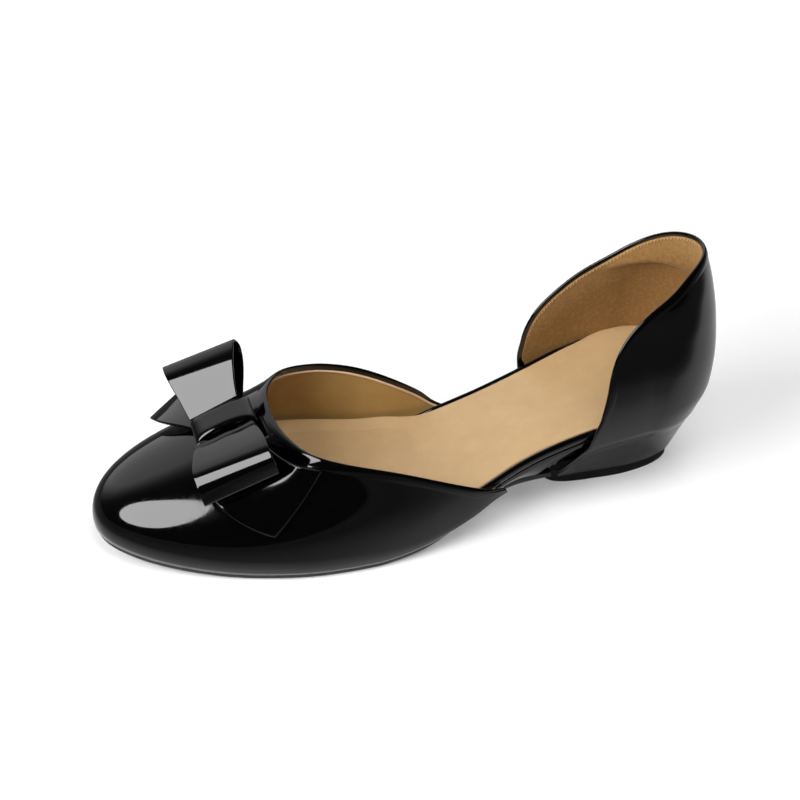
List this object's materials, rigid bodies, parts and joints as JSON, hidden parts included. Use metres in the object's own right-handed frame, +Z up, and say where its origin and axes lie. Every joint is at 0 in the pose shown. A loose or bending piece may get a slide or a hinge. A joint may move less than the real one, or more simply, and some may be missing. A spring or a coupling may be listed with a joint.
{
  "type": "flat shoe",
  "caption": "Left women's flat shoe with a closed round toe and heel cup, open at both sides of the waist, a ribbon bow on the vamp and a low tapered heel.",
  "frame": {"origin": "on the floor under the middle of the shoe's bounding box", "axes": "+X from the heel to the toe, +Y to the outer side of this left shoe, +Z up from the floor"},
  "size_m": [0.2384, 0.089, 0.0938],
  "materials": {
    "patent": "gloss",
    "binding": "gloss",
    "ribbon": "gloss",
    "sock": "satin",
    "rubber": "matte"
  },
  "bodies": {
    "root": {"outsole": "rubber", "heel_lift": "rubber", "heel_block": "patent", "footbed": "patent", "insole_sock": "sock", "vamp": "patent", "vamp_binding": "binding", "quarter": "patent", "quarter_binding": "binding", "bow_loop_outer": "ribbon", "bow_loop_inner": "ribbon", "bow_knot": "ribbon", "bow_tails": "ribbon"}
  },
  "joints": []
}
